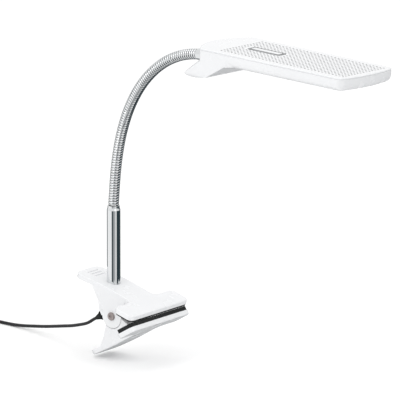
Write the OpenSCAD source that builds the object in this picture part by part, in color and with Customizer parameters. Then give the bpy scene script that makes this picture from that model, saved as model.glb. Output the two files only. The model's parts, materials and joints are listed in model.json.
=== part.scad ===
/* [Clamp] */
// Distance from the pivot to the outer surface of each lever
lever_offset = 26; // [24:0.5:28]
// Angle between each lever and the middle plane of the clamp
half_angle = 23.2; // [22:0.1:24]
// Tilt of the clamp's middle plane, up at the jaws
clamp_tilt = 7.8; // [0:0.2:12]
// Length of a lever from the pivot to its jaw's front edge
jaw_reach = 44; // [43:0.5:46]
// Length of the upper lever from the pivot to the end of its handle
handle_reach = 57; // [52:0.5:60]
// Length of the lower lever from the pivot to the end of its handle
lower_reach = 48; // [46:0.5:52]
// Width of each handle
handle_w = 36; // [34:1:40]
// Width of each jaw
jaw_w = 90; // [70:1:94]
// Length of the wide part of each jaw
wing_len = 24; // [18:0.5:26]
// Depth of the rim round each lever
rim_h = 5; // [4.5:0.1:5.5]
// Thickness of the moulded skin
skin = 2.6; // [2:0.1:3]
// Thickness of the upper jaw's rubber pad
pad_upper_t = 1.6; // [1.2:0.1:1.8]
// Thickness of the lower jaw's rubber pad
pad_lower_t = 4; // [3.6:0.1:4.2]

/* [Stem and gooseneck] */
// Outer diameter of the stem tube
stem_d = 13.8; // [12:0.2:14.4]
// Height of the stem tube's top above the jaws' meeting line
stem_top = 104; // [90:1:120]
// Length of the gooseneck
neck_len = 227.5; // [200:0.5:240]
// Outer diameter of the gooseneck
neck_d = 11; // [10:0.2:12]
// Lean of the gooseneck where it leaves the stem
neck_start = 3.5; // [0:0.5:8]
// Lean of the gooseneck where it enters the head
neck_end = 84; // [80:1:90]
// How much later in its length the gooseneck bends
neck_power = 1.75; // [1.4:0.05:2]

/* [Head] */
// Length of the head in front of its own origin
head_l = 168; // [160:1:172]
// Width of the head
head_w = 82; // [76:1:86]
// Depth of the head below its seam
head_h = 12.5; // [12:0.1:13]
// Roll of the head about the gooseneck's end
head_roll = 3.6; // [0:0.2:6]
// Spacing of the holes in the top cover
hole_pitch = 4.5; // [4:0.1:6]
// Diameter of the holes in the top cover
hole_d = 2.2; // [1.6:0.1:2.6]
// Length of the switch button's frame
button_l = 42; // [36:1:46]
// Width of the switch button's frame
button_w = 13; // [11:0.5:14]

/* [Lead] */
// Diameter of the lead
cord_d = 3.3; // [3.3:0.1:3.3]

/* [Hidden] */
$fn = 64;
touch = 0.02;                                  // depth by which fused shapes run into each other

// Clamp: a lever's own frame has its origin on the pivot, x towards the jaws, z outwards.
jaw_top = lever_offset - rim_h;                // height of a rim's inner edge above the pivot
pad_back = 0.3;                                // how far a pad stops short of its jaw's front edge
pad_front = jaw_reach - pad_back;
pivot_back = pad_front * cos(half_angle) + (jaw_top - pad_upper_t) * sin(half_angle);
pivot = [-pivot_back * cos(clamp_tilt), 0, -pivot_back * sin(clamp_tilt)];
wing_x = jaw_reach - wing_len;                 // where a lever has widened into its jaw
notch_r = 6.5;                                 // inside corner between handle and jaw
wing_r = 6;                                    // outside corners of a jaw
rim_t = 2.4;
handle_r = 9;                                  // corners of a handle's end
bend_x = -4;                                   // behind this a lever bends inwards
bend_r = 480;
lower_drop = 1.4;                              // how much farther out the lower lever lies
ear_out = handle_w / 2;
ear_t = 2.6;                                   // thickness of the upper lever's ears
ear_gap = 0.4;                                 // between the two levers' ears
ear_r = 12.5;                                  // round end of an ear about the pivot
lug_t = 2.6;                                   // thickness of the lower lever's inner lugs
lug_out = ear_out - ear_t - ear_gap;
lug_in = lug_out - lug_t;
pin_d = 4;
pin_bore = pin_d + 0.1;
pin_head_d = 8.4;
pin_head_t = 1.6;
clip_t = 0.8;
upper_ear = [[-36, 19], [-25, 12], [-18, 5.5], [-14.5, 1], [0, 0], [10.5, 7], [19, jaw_top], [19, 23], [-33, 23]];
lower_ear = [[-34, 25], [-28, 20], [-19.4, 12.9], [-12.4, 4.2], [0, 0], [10.5, 7], [19, jaw_top], [19, 25.4]];

// Stem
stem_x = pivot[0] - 12.4;
stem_foot = 17.5;                              // bottom of the stem's boss above the pivot
stem_seat = 24;                                // bottom of the stem above the pivot
boss_r = 8;
stem_wall = 0.8;
nipple_d = 9.6;
nut_t = 3;
washer_t = 1;
nut_af = 13;
shoulder_h = 5;                                // the stem narrows to the gooseneck over this height

// Gooseneck: sleeves of equal length, each an arc between two leans
sleeves = 10;
sleeve_len = neck_len / sleeves;
sleeve_gap = 1.8;
neck_bore = 6.4;
function lean(k) = neck_start + (neck_end - neck_start) * pow(k / sleeves, neck_power);
function sleeve_turn(k) = lean(k + 1) - lean(k);
function chord(k) = sleeve_len * sin(sleeve_turn(k) / 2) / (sleeve_turn(k) / 2 * PI / 180);
function neck_at(k) = k == 0 ? [stem_x, 0, stem_top]
    : neck_at(k - 1) + chord(k - 1) * [sin((lean(k) + lean(k - 1)) / 2), 0, cos((lean(k) + lean(k - 1)) / 2)];
neck_tip = neck_at(sleeves);

// Head: its own frame has x forwards, z upwards from the seam under the top cover
head_back = 55;                                // gooseneck's end behind the frame's origin
head_rise = 2.4;
axis_drop = 13.5;                              // ferrule's middle below the seam
half_w = head_w / 2;
rear_x = -35;                                  // rear end of the top, on the middle line
rear_bulge = 16;                               // rounding of the rear edge
rear_r = (half_w * half_w + rear_bulge * rear_bulge) / (2 * rear_bulge);
rear_c = rear_x + rear_r;
front_bulge = 5;
front_r = (half_w * half_w + front_bulge * front_bulge) / (2 * front_bulge);
front_c = head_l - front_r;
corner_r = 8;
edge_r = 8;                                    // rounding of the lower edges
wall = 2.2;
fin_depth = 30.2;
floor_z = -head_h + wall;                      // inside floor of the head
cover_z = 0.25;                                // underside and top of the cover
cover_top = 1.8;
rib_t = 1.4;
window = [58, 148, 25];                        // light's window: rear end, front end, half width
flange = 2;
diffuser_t = 1.4;
board = [60, 146, 31.5];                       // LED board: rear end, front end, half width
board_z = -5.5;
board_t = 1.6;
plate_t = 1;
post_x = [70, 136];
post_y = 29.6;
post_r = 2.2;
driver = [20, 54, 16];
driver_z = -8;
driver_t = 1.4;
driver_post_x = [24, 50];
driver_post_y = 12.5;
cover_post_x = [16, 154.5];
cover_post_y = 29;
cover_post_r = 2.6;
screw_d = 2;
screw_head_d = 3.8;
screw_head_t = 1.2;
hole_rows = 15;                                // holes across the cover
hole_columns = 36;                             // holes along the cover
holes_from = 1;
button_x = 12.5;
frame_t = 3.2;                                 // width of the button's frame
frame_top = 2.2;
frame_flange = 1.5;
button_gap = 0.25;
button_top = 2.5;
button_travel = 1.2;
stem_r = 1.9;                                  // button's plunger
led_rows = 4;
led_columns = 12;
ferrule_d = 11.4;
ferrule_out = 19;                              // bare length of the ferrule
ferrule_in = 9;
ferrule_seat = 4.8;                            // housing's wall behind the ferrule's shoulder
fin_slope = atan2(15, 24);                     // slant of the fin's front face
liner_t = 0.8;
liner_in = 1;                                  // depth of the liner's recess

// Lead: it leaves the boot behind the pivot and lies on the plane under the lower handle
floor_level = pivot[2] - 48.3;
boot_dir = [-0.87, 0, -0.493];
boot_tilt = acos(boot_dir[2]);
boot_foot = pivot + [-3.46, 0, 6.14];          // foot of the boot's axis above the pivot
web_from = 12.2;
web_to = 14.6;
lead_end = boot_foot + 36 * boot_dir;
on_floor = floor_level + cord_d / 2;
coil_at = [-258, -5];
coil_in = 12.4;
coil_out = 26;
coil_high = 6.8;
route = concat([lead_end, lead_end + 4 * boot_dir], [
    [-95, 0.5, -26], [-107, 2.5, -30.4], [-120, 5, -34.4], [-135, 8.5, -38.2], [-150, 12, -42], [-166, 15.5, -45.8],
    [-182, 18.3, -49], [-196, 19.6, -51.4], [-208, 20, -52.7], [-220, 20, on_floor], [-233, 19.8, on_floor],
    [-245, 19.4, on_floor]
]);
plug_at = [coil_at[0] - coil_out + cord_d / 2, -48];
tail_route = [
    [plug_at[0], -19, on_floor + 2.2], [plug_at[0], -24, on_floor + 1.4], [plug_at[0], -31, on_floor + 0.8],
    [plug_at[0], -38, on_floor + 1.5], [plug_at[0], -44, on_floor + 2.3], [plug_at[0], plug_at[1], on_floor + 2.4]
];
plug_z = on_floor + 2.4;
relief_l = 12;
plug_l = 30;
plug_w = 16;
plug_h = 8;
shell_l = 18.75;
shell_w = 12;
shell_h = 4.5;
inner_lead_d = 3.3;

// Plan shapes, drawn in a lever's frame
module lever_plan(reach) {
    handle_plan(reach, 0, wing_x + 5);
    for (side = [-1, 1])
        difference() {
            translate([wing_x - notch_r, side > 0 ? handle_w / 2 - 1 : -handle_w / 2 - notch_r])
                square([notch_r + 1, notch_r + 1]);
            translate([wing_x - notch_r, side * (handle_w / 2 + notch_r)]) circle(r = notch_r);
        }
    translate([wing_x, -jaw_w / 2]) rounded_rect(wing_len, jaw_w, wing_r);
}

module rounded_rect(l, w, r) {
    translate([r, 0]) square([l - 2 * r, w]);
    translate([0, r]) square([l, w - 2 * r]);
    for (x = [r, l - r], y = [r, w - r]) translate([x, y]) circle(r = r);
}

module handle_plan(reach, in, front) {
    translate([-reach + in, -handle_w / 2 + in]) rounded_rect(reach - in + front, handle_w - 2 * in, handle_r - in);
}

// Puts its children from a lever's frame into the lamp's frame
module on_lever(upper) {
    translate(pivot) rotate([0, -clamp_tilt, 0]) mirror([0, 0, upper ? 0 : 1]) rotate([0, half_angle, 0]) children();
}

module across(y0, y1) {
    translate([0, y1, 0]) rotate([90, 0, 0]) linear_extrude(y1 - y0) children();
}

module both_sides(y0, y1) {
    across(y0, y1) children();
    across(-y1, -y0) children();
}

// Between two depths under a lever's outer surface, which is flat at the jaw and bends inwards along the handle
module lever_layer(from, to) {
    translate([bend_x, -60, lever_offset - to]) cube([100, 120, to - from]);
    intersection() {
        translate([bend_x, 60, lever_offset - bend_r]) rotate([90, 0, 0]) difference() {
            cylinder(r = bend_r - from, h = 120, $fn = 1440);
            translate([0, 0, -1]) cylinder(r = bend_r - to, h = 122, $fn = 1440);
        }
        translate([bend_x - 100, -60, 0]) cube([100 + touch, 120, 60]);
    }
}

module lever_body(reach) {
    difference() {
        intersection() {
            lever_layer(0, rim_h);
            linear_extrude(40) lever_plan(reach);
        }
        intersection() {
            lever_layer(skin, rim_h + 1);
            linear_extrude(40) handle_plan(reach, rim_t, 14);
        }
    }
}

module grip_grooves() {
    for (x = [-48.6, -43.8, -38.9])
        translate([x, 0.6, lever_offset - bend_r + sqrt(pow(bend_r, 2) - pow(x - bend_x, 2))]) rotate([90, 0, 0])
            cylinder(d = 1.7, h = 15.5, center = true);
}

// Boss and wall of the upper lever that hold the stem and the strain relief
module stem_boss() {
    difference() {
        translate([stem_x, 0, pivot[2] + stem_foot]) cylinder(r = boss_r, h = 20);
        on_lever(true) translate([-60, -20, lever_offset - 1]) cube([80, 40, 30]);
    }
}

module boot_wall() {
    translate(boot_foot) rotate([0, -boot_tilt, 0]) translate([0, 0, web_from]) {
        translate([-1.4, -ear_out + ear_t - 0.2, 0]) cube([8, handle_w - 2 * ear_t + 0.4, web_to - web_from]);
        translate([-6.8, -8, 0]) cube([8, 16, web_to - web_from]);
    }
    on_lever(true) both_sides(ear_out - ear_t - 1.4, ear_out - ear_t + 0.2) difference() {
        polygon([[-24, 11], [-20.5, 2], [-20, -0.8], [-14.8, -5.8], [-12, 2], [-16, 8]]);
        circle(r = ear_r + 0.7);
    }
}

module pin_hole() {
    rotate([90, 0, 0]) cylinder(d = pin_bore, h = 60, center = true);
}

module upper_jaw() {
    color("white") difference() {
        union() {
            on_lever(true) {
                lever_body(handle_reach);
                both_sides(ear_out - ear_t, ear_out) polygon(upper_ear);
                both_sides(ear_out - ear_t, ear_out) circle(r = ear_r);
            }
            stem_boss();
            boot_wall();
        }
        on_lever(true) {
            pin_hole();
            grip_grooves();
        }
        translate([stem_x, 0, pivot[2] + stem_seat]) cylinder(d = stem_d, h = 40);
        translate([stem_x, 0, pivot[2]]) cylinder(d = nipple_d, h = 40);
        translate(boot_foot) rotate([0, -boot_tilt, 0]) cylinder(d = 6, h = 30);
    }
}

module lower_jaw() {
    color("white") difference() {
        on_lever(false) {
            translate([0, 0, lower_drop]) lever_body(lower_reach);
            both_sides(lug_in, lug_out) polygon(lower_ear);
            both_sides(lug_in, lug_out) circle(r = ear_r);
            both_sides(lug_out - touch, ear_out) difference() {
                polygon(lower_ear);
                circle(r = ear_r + ear_gap);
            }
        }
        on_lever(false) pin_hole();
    }
}

module pad(t) {
    translate([wing_x + 1, -jaw_w / 2 + 1, jaw_top - t])
        linear_extrude(t) rounded_rect(pad_front - wing_x - 1, jaw_w - 2, wing_r - 1);
}

module upper_jaw_pad() {
    color([0.1, 0.11, 0.11]) on_lever(true) pad(pad_upper_t);
}

module lower_jaw_pad() {
    color([0.1, 0.11, 0.11]) on_lever(false) translate([0, 0, lower_drop]) pad(pad_lower_t);
}

module pivot_pin() {
    color([0.66, 0.6, 0.58]) translate(pivot) rotate([-90, 0, 0]) {
        translate([0, 0, -ear_out - pin_head_t]) difference() {
            cylinder(d = pin_head_d, h = pin_head_t);
            translate([0, 0, -1]) cylinder(d = 3, h = 2);
        }
        translate([0, 0, -ear_out - touch]) cylinder(d = pin_d, h = 2 * ear_out + clip_t + 1);
    }
}

module pivot_clip() {
    color("silver") translate(pivot) rotate([-90, 0, 0]) translate([0, 0, ear_out]) difference() {
        cylinder(d = 8, h = clip_t);
        translate([0, 0, -1]) cylinder(d = pin_d, h = clip_t + 2);
    }
}

// Torsion spring: a coil round the pin, with a leg under each handle
spring_wire = 1.7;
spring_r = 5;
spring_turns = 7;
spring_half = 9.2;
spring_steps = 10;
leg_len = 39;
leg_lean = 117.3;                              // direction of the upper leg from the jaws' direction
spring_last = spring_turns * spring_steps;
function coil_angle(i) = leg_lean + 90 + (spring_turns * 360 + 180 - 2 * leg_lean) * i / spring_last;
function coil_point(i) = [
    spring_r * cos(coil_angle(i)), -spring_half + 2 * spring_half * i / spring_last, spring_r * sin(coil_angle(i))];
function leg_dir(up) = [cos(leg_lean), 0, up * sin(leg_lean)];
spring_path = concat(
    [for (i = [4:-1:1]) coil_point(0) + leg_dir(1) * leg_len * i / 4],
    [for (i = [0:spring_last]) coil_point(i)],
    [for (i = [1:4]) coil_point(spring_last) + leg_dir(-1) * leg_len * i / 4]
);

function unit(v) = v / norm(v);
// Rings of a tube along points, each square to the path, with a fixed side direction
function tube_rings(path, r, sides, side) = [
    for (i = [0:len(path) - 1])
        let (t = unit(path[min(i + 1, len(path) - 1)] - path[max(i - 1, 0)]),
             a = unit(cross(side, t)), b = cross(t, a))
        for (k = [0:sides - 1]) path[i] + r * (a * cos(360 * k / sides) + b * sin(360 * k / sides))
];
module tube_along(path, r, sides, side) {
    n = len(path);
    polyhedron(tube_rings(path, r, sides, side), concat(
        [[for (k = [0:sides - 1]) k]],
        [for (i = [0:n - 2], k = [0:sides - 1])
            [i * sides + k, (i + 1) * sides + k, (i + 1) * sides + (k + 1) % sides, i * sides + (k + 1) % sides]],
        [[for (k = [sides - 1:-1:0]) (n - 1) * sides + k]]
    ));
}

module torsion_spring() {
    color("silver") translate(pivot) rotate([0, -clamp_tilt, 0])
        tube_along(spring_path, spring_wire / 2, 8, [0, 1, 0]);
}

module stem_tube() {
    top_r = neck_d / 2 + 0.6;
    bottom = pivot[2] + stem_seat;
    color("silver") translate([stem_x, 0, 0]) difference() {
        union() {
            translate([0, 0, bottom]) cylinder(d = stem_d, h = stem_top - shoulder_h - bottom);
            translate([0, 0, stem_top - shoulder_h]) cylinder(r1 = stem_d / 2, r2 = top_r, h = shoulder_h - 1);
            translate([0, 0, stem_top - 1 - touch]) cylinder(r = top_r, h = 0.5);
        }
        translate([0, 0, bottom - 1]) cylinder(d = nipple_d, h = 13);
        translate([0, 0, bottom + 8]) cylinder(d = stem_d - 2 * stem_wall, h = stem_top - shoulder_h - bottom - 9);
        translate([0, 0, stem_top - 20]) cylinder(d = neck_bore, h = 30);
    }
}

module stem_nipple() {
    color("goldenrod") translate([stem_x, 0, pivot[2] + stem_foot - washer_t - nut_t - 1]) difference() {
        cylinder(d = nipple_d, h = nut_t + washer_t + stem_seat - stem_foot + 8);
        translate([0, 0, -1]) cylinder(d = 6, h = 40);
    }
}

module stem_washer() {
    color("silver") translate([stem_x, 0, pivot[2] + stem_foot - washer_t]) difference() {
        cylinder(r = boss_r - 0.4, h = washer_t);
        translate([0, 0, -1]) cylinder(d = nipple_d, h = 5);
    }
}

module stem_nut() {
    color("goldenrod") translate([stem_x, 0, pivot[2] + stem_foot - washer_t - nut_t]) difference() {
        cylinder(d = nut_af / cos(30), h = nut_t, $fn = 6);
        translate([0, 0, -1]) cylinder(d = nipple_d, h = 8);
    }
}

// One sleeve of the gooseneck, an arc between its two leans, short of the next sleeve at each end
module neck_sleeve(k) {
    r = sleeve_len / (sleeve_turn(k) * PI / 180);
    cut = sleeve_gap / 2 / r * 180 / PI;
    color([0.78, 0.8, 0.81]) translate(neck_at(k)) rotate([0, lean(k), 0]) translate([r, 0, 0])
        rotate([90, 0, 180]) rotate([0, 0, cut]) rotate_extrude(angle = sleeve_turn(k) - 2 * cut) translate([r, 0])
            difference() {
                circle(d = neck_d);
                circle(d = neck_bore);
            }
}

module neck_sleeve_1() { neck_sleeve(0); }
module neck_sleeve_2() { neck_sleeve(1); }
module neck_sleeve_3() { neck_sleeve(2); }
module neck_sleeve_4() { neck_sleeve(3); }
module neck_sleeve_5() { neck_sleeve(4); }
module neck_sleeve_6() { neck_sleeve(5); }
module neck_sleeve_7() { neck_sleeve(6); }
module neck_sleeve_8() { neck_sleeve(7); }
module neck_sleeve_9() { neck_sleeve(8); }
module neck_sleeve_10() { neck_sleeve(9); }

// The gooseneck's end frame, with z along the gooseneck
module at_neck_tip() {
    translate(neck_tip) rotate([0, neck_end, 0]) children();
}

module in_head() {
    translate(neck_tip + [head_back, 0, head_rise]) rotate([-head_roll, 0, 0]) translate([0, 0, axis_drop]) children();
}

module neck_ferrule() {
    color("silver") at_neck_tip() difference() {
        union() {
            cylinder(d = ferrule_d, h = ferrule_out);
            translate([0, 0, ferrule_out - touch]) cylinder(d = 8, h = ferrule_in);
        }
        translate([0, 0, -1]) cylinder(d = neck_bore, h = 60);
    }
}

module ferrule_nut() {
    color("silver") at_neck_tip() translate([0, 0, ferrule_out + ferrule_seat]) difference() {
        cylinder(d = 11 / cos(30), h = 3, $fn = 6);
        translate([0, 0, -1]) cylinder(d = 8, h = 8);
    }
}

// Plan of the head, drawn in by a distance all round
module head_plan(in) {
    w = half_w - in;
    intersection() {
        translate([rear_c, 0]) circle(r = rear_r - in);
        translate([-60, -w]) square([80, 2 * w]);
    }
    front_plan(in, 10);
}

module front_plan(in, from) {
    w = half_w - in;
    r = corner_r - in / 2;
    corner = front_c + sqrt(pow(front_r - in - r, 2) - pow(w - r, 2));
    translate([from, -w]) square([corner - from, 2 * w]);
    intersection() {
        translate([front_c, 0]) circle(r = front_r - in);
        translate([from, -w + r]) square([200, 2 * (w - r)]);
    }
    for (side = [-1, 1]) translate([corner, side * (w - r)]) circle(r = r);
}

// Upright outline with rounded lower corners, and half of it for turning
module trough(w, top, bottom, r) {
    translate([-w, bottom + r]) square([2 * w, top - bottom - r]);
    translate([-w + r, bottom]) square([2 * (w - r), r + 1]);
    for (side = [-1, 1]) translate([side * (w - r), bottom + r]) circle(r = r);
}

module turned_trough(w, top, bottom, r) {
    rotate_extrude($fn = 180) intersection() {
        trough(w, top, bottom, r);
        translate([0, bottom - 1]) square([w + 1, top - bottom + 2]);
    }
}

// Flat front part of the head
module plate_solid(in, top) {
    bottom = -head_h + in;
    intersection() {
        translate([0, 0, bottom]) linear_extrude(top - bottom) front_plan(in, 5);
        rotate([90, 0, 90]) linear_extrude(200) trough(half_w - in, top + 1, bottom, edge_r - in);
        translate([front_c, 0, 0]) turned_trough(front_r - in, top + 1, bottom, edge_r - in);
    }
}

// Rear part of the head, with the fin that hangs below it
module tail_solid(in, top) {
    bottom = -fin_depth + in;
    intersection() {
        translate([rear_c, 0, 0]) rotate_extrude($fn = 180) polygon([
            [0, bottom], [67.4 - 0.2 * in, bottom], [74.9 - 1.9 * in, -28.8 + 0.95 * in],
            [76.2 - 1.64 * in, -26.4 + 0.15 * in], [rear_r - in, -12 - 0.44 * in], [rear_r - in, top], [0, top]]);
        across(-60, 60) polygon([
            [-60, top + 1], [-60, bottom], [-28, bottom], [-11.5 - 0.36 * in, -27.5 + 0.95 * in],
            [12.5 - 0.62 * in, -head_h + in], [18, -head_h + in], [18, top + 1]]);
        translate([-100, 0, 0]) rotate([90, 0, 90])
            linear_extrude(120) trough(half_w - in, top + 2, bottom - 1, edge_r - in);
    }
}

module head_solid(in, top) {
    plate_solid(in, top);
    tail_solid(in, top);
}

// Puts its children on the fin's front face, x down the slope and z outwards
module on_fin_face() {
    translate([12.5, 0, -head_h]) rotate([0, 180 - fin_slope, 0]) children();
}

module liner_plan(in) {
    translate([2 + in, -half_w + 3 + in]) rounded_rect(24.6 - 2 * in, head_w - 6 - 2 * in, 5);
}

module posts(xs, y, r, from, to) {
    for (x = xs, side = [-1, 1]) translate([x, side * y, from]) cylinder(r = r, h = to - from);
}

module window_plan(out) {
    translate([window[0] - out, -window[2] - out])
        rounded_rect(window[1] - window[0] + 2 * out, 2 * (window[2] + out), 4 + out);
}

module head_shell() {
    color("white") difference() {
        union() {
            in_head() difference() {
                head_solid(0, 0);
                head_solid(wall, 3);
            }
            in_head() posts(post_x, post_y, post_r, floor_z - 1, board_z);
            in_head() posts(driver_post_x, driver_post_y, post_r, floor_z - 1, driver_z);
            intersection() {
                at_neck_tip() translate([0, 0, 8]) cylinder(d = 18, h = ferrule_out + ferrule_seat - 8);
                in_head() tail_solid(0, -3);
            }
        }
        at_neck_tip() translate([0, 0, -5]) cylinder(d = ferrule_d, h = ferrule_out + 5);
        at_neck_tip() cylinder(d = 8, h = 40);
        in_head() {
            translate([0, 0, -head_h - 1]) linear_extrude(5) window_plan(0);
            posts(post_x, post_y, screw_d / 2, floor_z, 1);
            posts(driver_post_x, driver_post_y, screw_d / 2, floor_z, 1);
            posts(cover_post_x, cover_post_y, screw_d / 2 + 0.1, -head_h - 1, 1);
            posts(cover_post_x, cover_post_y, screw_head_d / 2 + 0.1, -head_h - 1, -head_h + screw_head_t);
            on_fin_face() translate([0, 0, -liner_in]) linear_extrude(3) liner_plan(0);
        }
    }
}

function in_button(x, y) = x > button_x - 3 && x < button_x + button_l + 3 && abs(y) < button_w / 2 + 2;

module button_plan(in) {
    translate([button_x + in, -button_w / 2 + in]) rounded_rect(button_l - 2 * in, button_w - 2 * in, 2.5 - in / 2);
}

module cover_holes() {
    for (i = [0:hole_columns - 1], j = [0:hole_rows - 1]) {
        x = holes_from + i * hole_pitch;
        y = (j - (hole_rows - 1) / 2) * hole_pitch;
        if (!in_button(x, y)) translate([x, y]) circle(d = hole_d);
    }
}

module top_cover() {
    color("white") in_head() {
        difference() {
            union() {
                translate([0, 0, cover_z]) linear_extrude(cover_top - cover_z) difference() {
                    head_plan(0);
                    cover_holes();
                    button_plan(0);
                }
                translate([0, 0, -2]) linear_extrude(2 + cover_z + touch) difference() {
                    head_plan(wall + 0.3);
                    head_plan(wall + 0.3 + rib_t);
                }
                posts(cover_post_x, cover_post_y, cover_post_r, floor_z, cover_z + touch);
            }
            posts(cover_post_x, cover_post_y, screw_d / 2, floor_z - 1, cover_z - 1);
        }
    }
}

module fin_liner() {
    color([0.66, 0.67, 0.67]) in_head() on_fin_face() translate([0, 0, -liner_in]) linear_extrude(liner_t) liner_plan(0.1);
}

module diffuser() {
    color([0.93, 0.94, 0.92]) in_head() {
        translate([0, 0, floor_z]) linear_extrude(diffuser_t) window_plan(flange);
        translate([0, 0, -head_h + 0.3]) linear_extrude(wall - 0.3 + touch) window_plan(-0.1);
    }
}

module board_plan(b, xs, y) {
    difference() {
        translate([b[0], -b[2]]) square([b[1] - b[0], 2 * b[2]]);
        for (x = xs, side = [-1, 1]) translate([x, side * y]) circle(d = screw_d);
    }
}

module led_board() {
    color([0.95, 0.95, 0.9]) in_head() translate([0, 0, board_z]) linear_extrude(board_t) board_plan(board, post_x, post_y);
}

module heat_plate() {
    color("silver") in_head() translate([0, 0, board_z + board_t])
        linear_extrude(plate_t) board_plan(board, post_x, post_y);
}

module leds() {
    color([0.95, 0.85, 0.35]) in_head()
        for (i = [0:led_columns - 1], j = [0:led_rows - 1])
            translate([67 + 6.4 * i, (j - (led_rows - 1) / 2) * 11, board_z - 0.4]) cube([3.5, 2.8, 0.8], center = true);
}

module one_screw(head_z, l) {
    translate([0, 0, head_z]) cylinder(d = screw_head_d, h = screw_head_t);
    translate([0, 0, head_z - l]) cylinder(d = screw_d, h = l + touch);
}

module board_screws() {
    color("dimgray") in_head() {
        for (x = post_x, side = [-1, 1]) translate([x, side * post_y, 0]) one_screw(board_z + board_t + plate_t, 6);
        for (x = driver_post_x, side = [-1, 1])
            translate([x, side * driver_post_y, 0]) one_screw(driver_z + driver_t, 3.4);
    }
}

module cover_screws() {
    color("dimgray") in_head()
        for (x = cover_post_x, side = [-1, 1])
            translate([x, side * cover_post_y, -head_h + screw_head_t]) mirror([0, 0, 1]) one_screw(0, 9);
}

module driver_board() {
    color("darkgreen") in_head() translate([0, 0, driver_z])
        linear_extrude(driver_t) board_plan(driver, driver_post_x, driver_post_y);
}

module driver_parts() {
    color([0.15, 0.15, 0.16]) in_head() translate([0, 0, driver_z + driver_t]) {
        translate([43, 4, 0]) cube([6, 5, 1.6]);
        translate([42, -9, 0]) cube([7, 7, 3]);
        translate([44, 0, 0]) cylinder(d = 3, h = 2.6);
    }
}

button_mid = button_x + button_l / 2;
body_z = driver_z + driver_t;
module switch_body() {
    color([0.2, 0.2, 0.22]) in_head() translate([button_mid, 0, body_z]) difference() {
        translate([-4, -4, 0]) cube([8, 8, 3.4]);
        translate([0, 0, 0.9]) cylinder(r = stem_r + 0.2, h = 5);
    }
}

module switch_frame() {
    color([0.36, 0.37, 0.38]) in_head() {
        translate([0, 0, -0.2]) linear_extrude(frame_top + 0.2) difference() {
            button_plan(0);
            button_plan(frame_t);
        }
        translate([0, 0, -1]) linear_extrude(1 + cover_z) difference() {
            button_plan(-frame_flange);
            button_plan(0.4);
        }
    }
}

module switch_button() {
    color("white") in_head() {
        translate([0, 0, -0.5]) linear_extrude(button_top + 0.5) button_plan(frame_t + button_gap);
        translate([0, 0, -1.4]) linear_extrude(1) button_plan(0.8);
        translate([button_mid, 0, -4.2]) cylinder(r = stem_r, h = 3);
    }
}

module head_lead() {
    color([0.12, 0.12, 0.13]) in_head() tube_along([
        [-27, 0, -13], [-22, 0, -13.2], [-16, 0, -12.6], [-9, 0, -10.6], [-2, 0, -8.4], [6, 0, -6.6],
        [14, 0, -5.6], [21, 0, -5.35], [26, 0, -5.35]], 1.2, 8, [0, 1, 0]);
}

module strain_relief() {
    color([0.1, 0.1, 0.1]) translate(boot_foot) rotate([0, -boot_tilt, 0]) difference() {
        union() {
            translate([0, 0, web_from - 1.6]) cylinder(d = 8.6, h = 1.6 + touch);
            translate([0, 0, web_from - touch]) cylinder(d = 6, h = web_to - web_from + 2 * touch);
            translate([0, 0, web_to]) cylinder(d = 9, h = 12.2);
            translate([0, 0, web_to + 12.2 - touch]) cylinder(d = 10.2, h = 1.2);
            translate([0, 0, web_to + 13.4 - 2 * touch]) cylinder(d1 = 9.8, d2 = 4.2, h = 36 - web_to - 13.4 + 2 * touch);
        }
        translate([0, 0, -10]) cylinder(d = inner_lead_d, h = 60);
    }
}

// Lead inside the clamp, from the strain relief up to the stem
module clamp_lead() {
    color([0.12, 0.12, 0.13]) {
        translate(boot_foot) rotate([0, -boot_tilt, 0]) translate([0, 0, 8]) cylinder(d = inner_lead_d, h = 28);
        at = boot_foot + 8 * boot_dir;
        tube_along([
            at + 0.2 * boot_dir, at, at - 2.2 * boot_dir, [stem_x + 1.2, 0, pivot[2] + 6.5],
            [stem_x + 0.3, 0, pivot[2] + 10], [stem_x, 0, pivot[2] + 14], [stem_x, 0, pivot[2] + 22]], 1.6, 8, [0, 1, 0]);
    }
}

module cord() {
    color([0.08, 0.08, 0.09]) tube_along(route, cord_d / 2, 8, [0, 1, 0]);
}

module cord_coil() {
    color([0.08, 0.08, 0.09]) translate([coil_at[0], coil_at[1], floor_level]) rotate_extrude()
        translate([coil_in, 0]) square([coil_out - coil_in, coil_high]);
}

module cord_tail() {
    color([0.08, 0.08, 0.09]) tube_along(tail_route, cord_d / 2, 8, [1, 0, 0]);
}

// The plug's own frame has z from the lead towards the plug's tip
module at_plug() {
    translate([plug_at[0], plug_at[1], plug_z]) rotate([90, 0, 0]) children();
}

module plug_relief() {
    color([0.08, 0.08, 0.09]) at_plug() difference() {
        cylinder(d1 = 4.6, d2 = 7.6, h = relief_l);
        for (i = [0:2]) translate([0, 0, 2.4 + 3.2 * i]) difference() {
            cylinder(d = 10, h = 1.2);
            translate([0, 0, -1]) cylinder(d = 4.4, h = 4);
        }
    }
}

module plug_grip() {
    color([0.1, 0.1, 0.11]) at_plug() translate([-plug_w / 2, -plug_h / 2, relief_l])
        linear_extrude(plug_l) rounded_rect(plug_w, plug_h, 2);
}

module plug_shell() {
    color("silver") at_plug() translate([0, 0, relief_l + plug_l]) difference() {
        translate([-shell_w / 2, -shell_h / 2, 0]) cube([shell_w, shell_h, shell_l]);
        translate([-shell_w / 2 + 0.35, -shell_h / 2 + 0.35, 1]) cube([shell_w - 0.7, shell_h - 0.7, shell_l]);
        for (x = [-3, 3]) translate([x - 1.2, -shell_h, 10]) cube([2.4, 2 * shell_h, 2.4]);
    }
}

module plug_tongue() {
    color([0.9, 0.9, 0.9]) at_plug() translate([-shell_w / 2 + 0.35, -shell_h / 2 + 0.35, relief_l + plug_l + 1])
        cube([shell_w - 0.7, 1.9, shell_l - 2]);
}

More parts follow.
